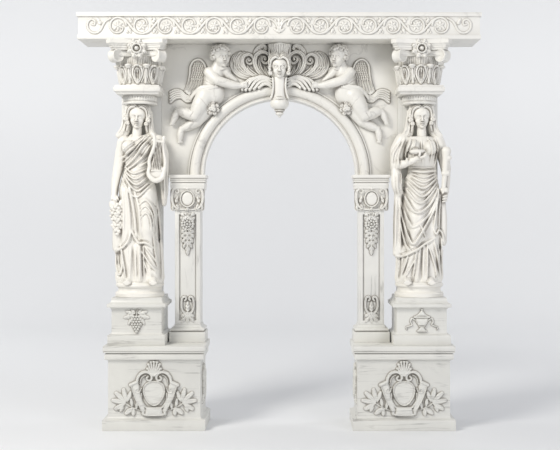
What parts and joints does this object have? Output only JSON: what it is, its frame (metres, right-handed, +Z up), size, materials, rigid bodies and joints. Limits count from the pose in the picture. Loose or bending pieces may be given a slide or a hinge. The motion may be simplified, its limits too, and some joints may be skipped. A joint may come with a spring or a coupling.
{
  "type": "door surround",
  "caption": "Carved white marble door surround: pedestals, draped figures, pilasters, an arch with winged children, and a lintel with a scroll frieze.",
  "frame": {"origin": "on the floor, under the middle of the object's box", "axes": "+Z up, +Y to the wall behind, +X to the viewer's right when facing the front"},
  "size_m": [2.724, 0.44, 2.7995],
  "materials": {
    "pedestal_marble": "honed, faint level veins",
    "figure_marble": "honed, carved",
    "carved_marble": "honed, carved",
    "panel_marble": "honed, faint upright veins",
    "arch_marble": "honed, carved"
  },
  "bodies": {
    "root": {"pedestal_left": "pedestal_marble", "pedestal_right": "pedestal_marble", "column_plinth_left": "pedestal_marble", "column_plinth_right": "pedestal_marble", "caryatid_left": "figure_marble", "caryatid_right": "figure_marble", "pier_left": "panel_marble", "pier_right": "panel_marble", "necking_left": "carved_marble", "necking_right": "carved_marble", "capital_left": "carved_marble", "capital_right": "carved_marble", "pilaster_base_left": "pedestal_marble", "pilaster_base_right": "pedestal_marble", "pilaster_shaft_left": "panel_marble", "pilaster_shaft_right": "panel_marble", "pilaster_capital_left": "carved_marble", "pilaster_capital_right": "carved_marble", "impost_left": "carved_marble", "impost_right": "carved_marble", "spandrel_left": "arch_marble", "spandrel_right": "arch_marble", "keystone": "carved_marble", "lintel": "carved_marble"}
  },
  "joints": []
}
